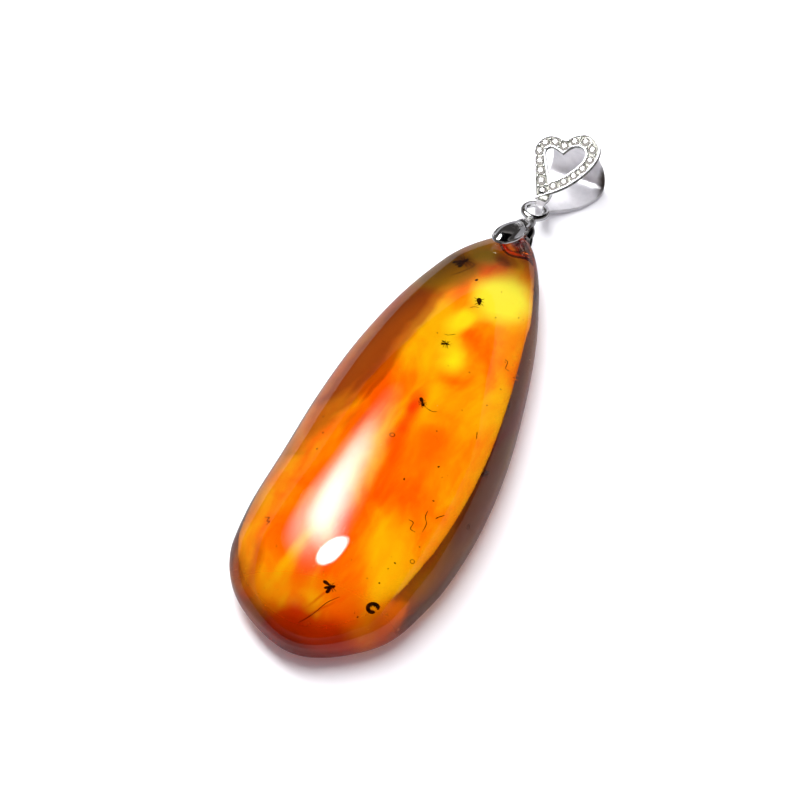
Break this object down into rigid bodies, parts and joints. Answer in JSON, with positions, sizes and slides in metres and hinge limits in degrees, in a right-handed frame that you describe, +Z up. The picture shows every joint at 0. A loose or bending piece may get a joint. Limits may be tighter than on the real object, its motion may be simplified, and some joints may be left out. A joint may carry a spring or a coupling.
{
  "type": "amber drop pendant with insect inclusions",
  "caption": "Polished honey-coloured amber drop with small insects sealed inside, held by a pinch clasp under a heart-shaped bail set with clear stones.",
  "frame": {"origin": "middle of the footprint, on the surface that the pendant lies on", "axes": "+Z up out of the polished crown, +Y along the drop towards the clasp and the bail, +X to the right of the drop seen from above with the bail at the top"},
  "size_m": [0.024, 0.0784, 0.012],
  "materials": {
    "amber": "polished, clear, with flow bands and specks",
    "insect_brown": "dark brown shell and limbs of preserved insects",
    "bright_silver": "bright polished white metal",
    "clear_stone": "clear faceted stones"
  },
  "bodies": {
    "pendant": {"amber_dome": "amber", "amber_base": "amber", "midge": "insect_brown", "beetle": "insect_brown", "gnat": "insect_brown", "ant": "insect_brown", "fly": "insect_brown", "grub": "insect_brown", "pinch_clasp": "bright_silver"},
    "bail": {"heart_bail": "bright_silver", "stone_01": "clear_stone", "stone_02": "clear_stone", "stone_03": "clear_stone", "stone_04": "clear_stone", "stone_05": "clear_stone", "stone_06": "clear_stone", "stone_07": "clear_stone", "stone_08": "clear_stone", "stone_09": "clear_stone", "stone_10": "clear_stone", "stone_11": "clear_stone", "stone_12": "clear_stone", "stone_13": "clear_stone", "stone_14": "clear_stone", "stone_15": "clear_stone", "stone_16": "clear_stone"}
  },
  "joints": [
    {"name": "bail_swing", "type": "hinge", "parent": "pendant", "child": "bail", "pos_m": [-0.00121, 0.03039, 0.00311], "axis": [1, 0, 0], "range_deg": [-90, 35]}
  ]
}
